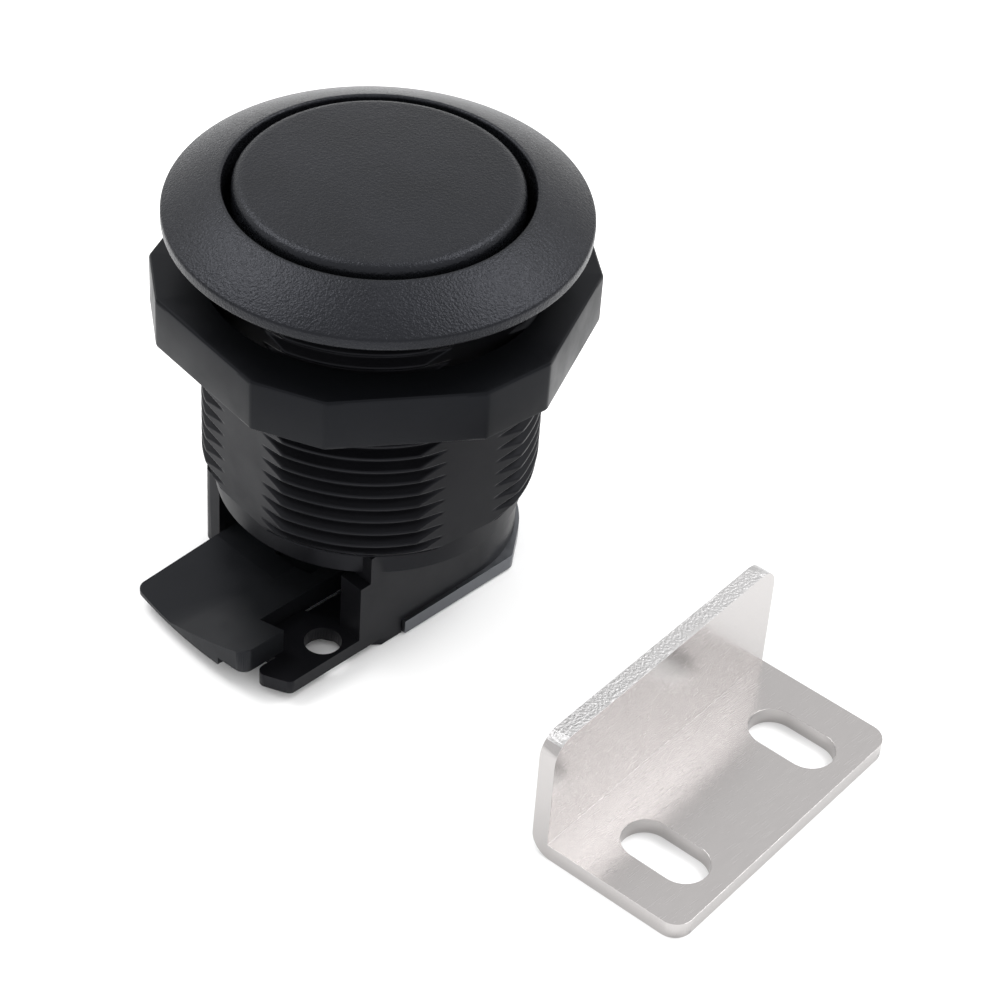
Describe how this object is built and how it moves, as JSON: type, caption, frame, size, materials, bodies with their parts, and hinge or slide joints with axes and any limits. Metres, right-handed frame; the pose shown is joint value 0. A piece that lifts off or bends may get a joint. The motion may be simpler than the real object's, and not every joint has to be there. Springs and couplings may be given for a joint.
{
  "type": "push button cabinet lock",
  "caption": "Round push button cabinet lock: bezel, threaded barrel with hexagonal nut, sprung bevelled bolt, and an L-shaped strike plate with slots.",
  "frame": {"origin": "on the barrel's axis, at the underside of the lock's bottom plate, the plane on which lock and strike stand", "axes": "+Z along the barrel's axis towards the button, -Y the way the bolt points, +X towards the strike plate"},
  "size_m": [0.0617, 0.0351, 0.0355],
  "materials": {
    "housing_plastic": "satin moulded black",
    "textured_plastic": "fine spark-eroded texture, black",
    "bolt_plastic": "satin moulded black",
    "nut_plastic": "satin moulded black",
    "spring_steel": "drawn bright",
    "zinc_plated_steel": "zinc plated",
    "brushed_steel": "brushed"
  },
  "bodies": {
    "housing": {"lock_housing": "housing_plastic", "bezel": "textured_plastic", "bottom_plate": "zinc_plated_steel", "cover_screws": "zinc_plated_steel", "button_spring": "spring_steel", "bolt_spring": "spring_steel", "strike_plate": "brushed_steel"},
    "button": {"push_button": "textured_plastic", "plunger": "housing_plastic", "retaining_clip": "spring_steel"},
    "bolt": {"latch_bolt": "bolt_plastic"},
    "nut": {"mounting_nut": "nut_plastic"}
  },
  "joints": [
    {"name": "button_press", "type": "slide", "parent": "housing", "child": "button", "axis": [0, 0, -1], "range_m": [0, 0.004], "stiffness_N_per_m": 600, "springref_m": -0.003, "deforming": ["button_spring"]},
    {"name": "bolt_slide", "type": "slide", "parent": "housing", "child": "bolt", "axis": [0, 1, 0], "range_m": [0, 0.006], "stiffness_N_per_m": 200, "springref_m": -0.003, "deforming": ["bolt_spring"]},
    {"name": "nut_travel", "type": "slide", "parent": "housing", "child": "nut", "axis": [0, 0, 1], "range_m": [-0.0125, 0.0035]}
  ],
  "couplings": [
    {"joint": "bolt_slide", "follows": "button_press", "ratio": 1.5}
  ]
}
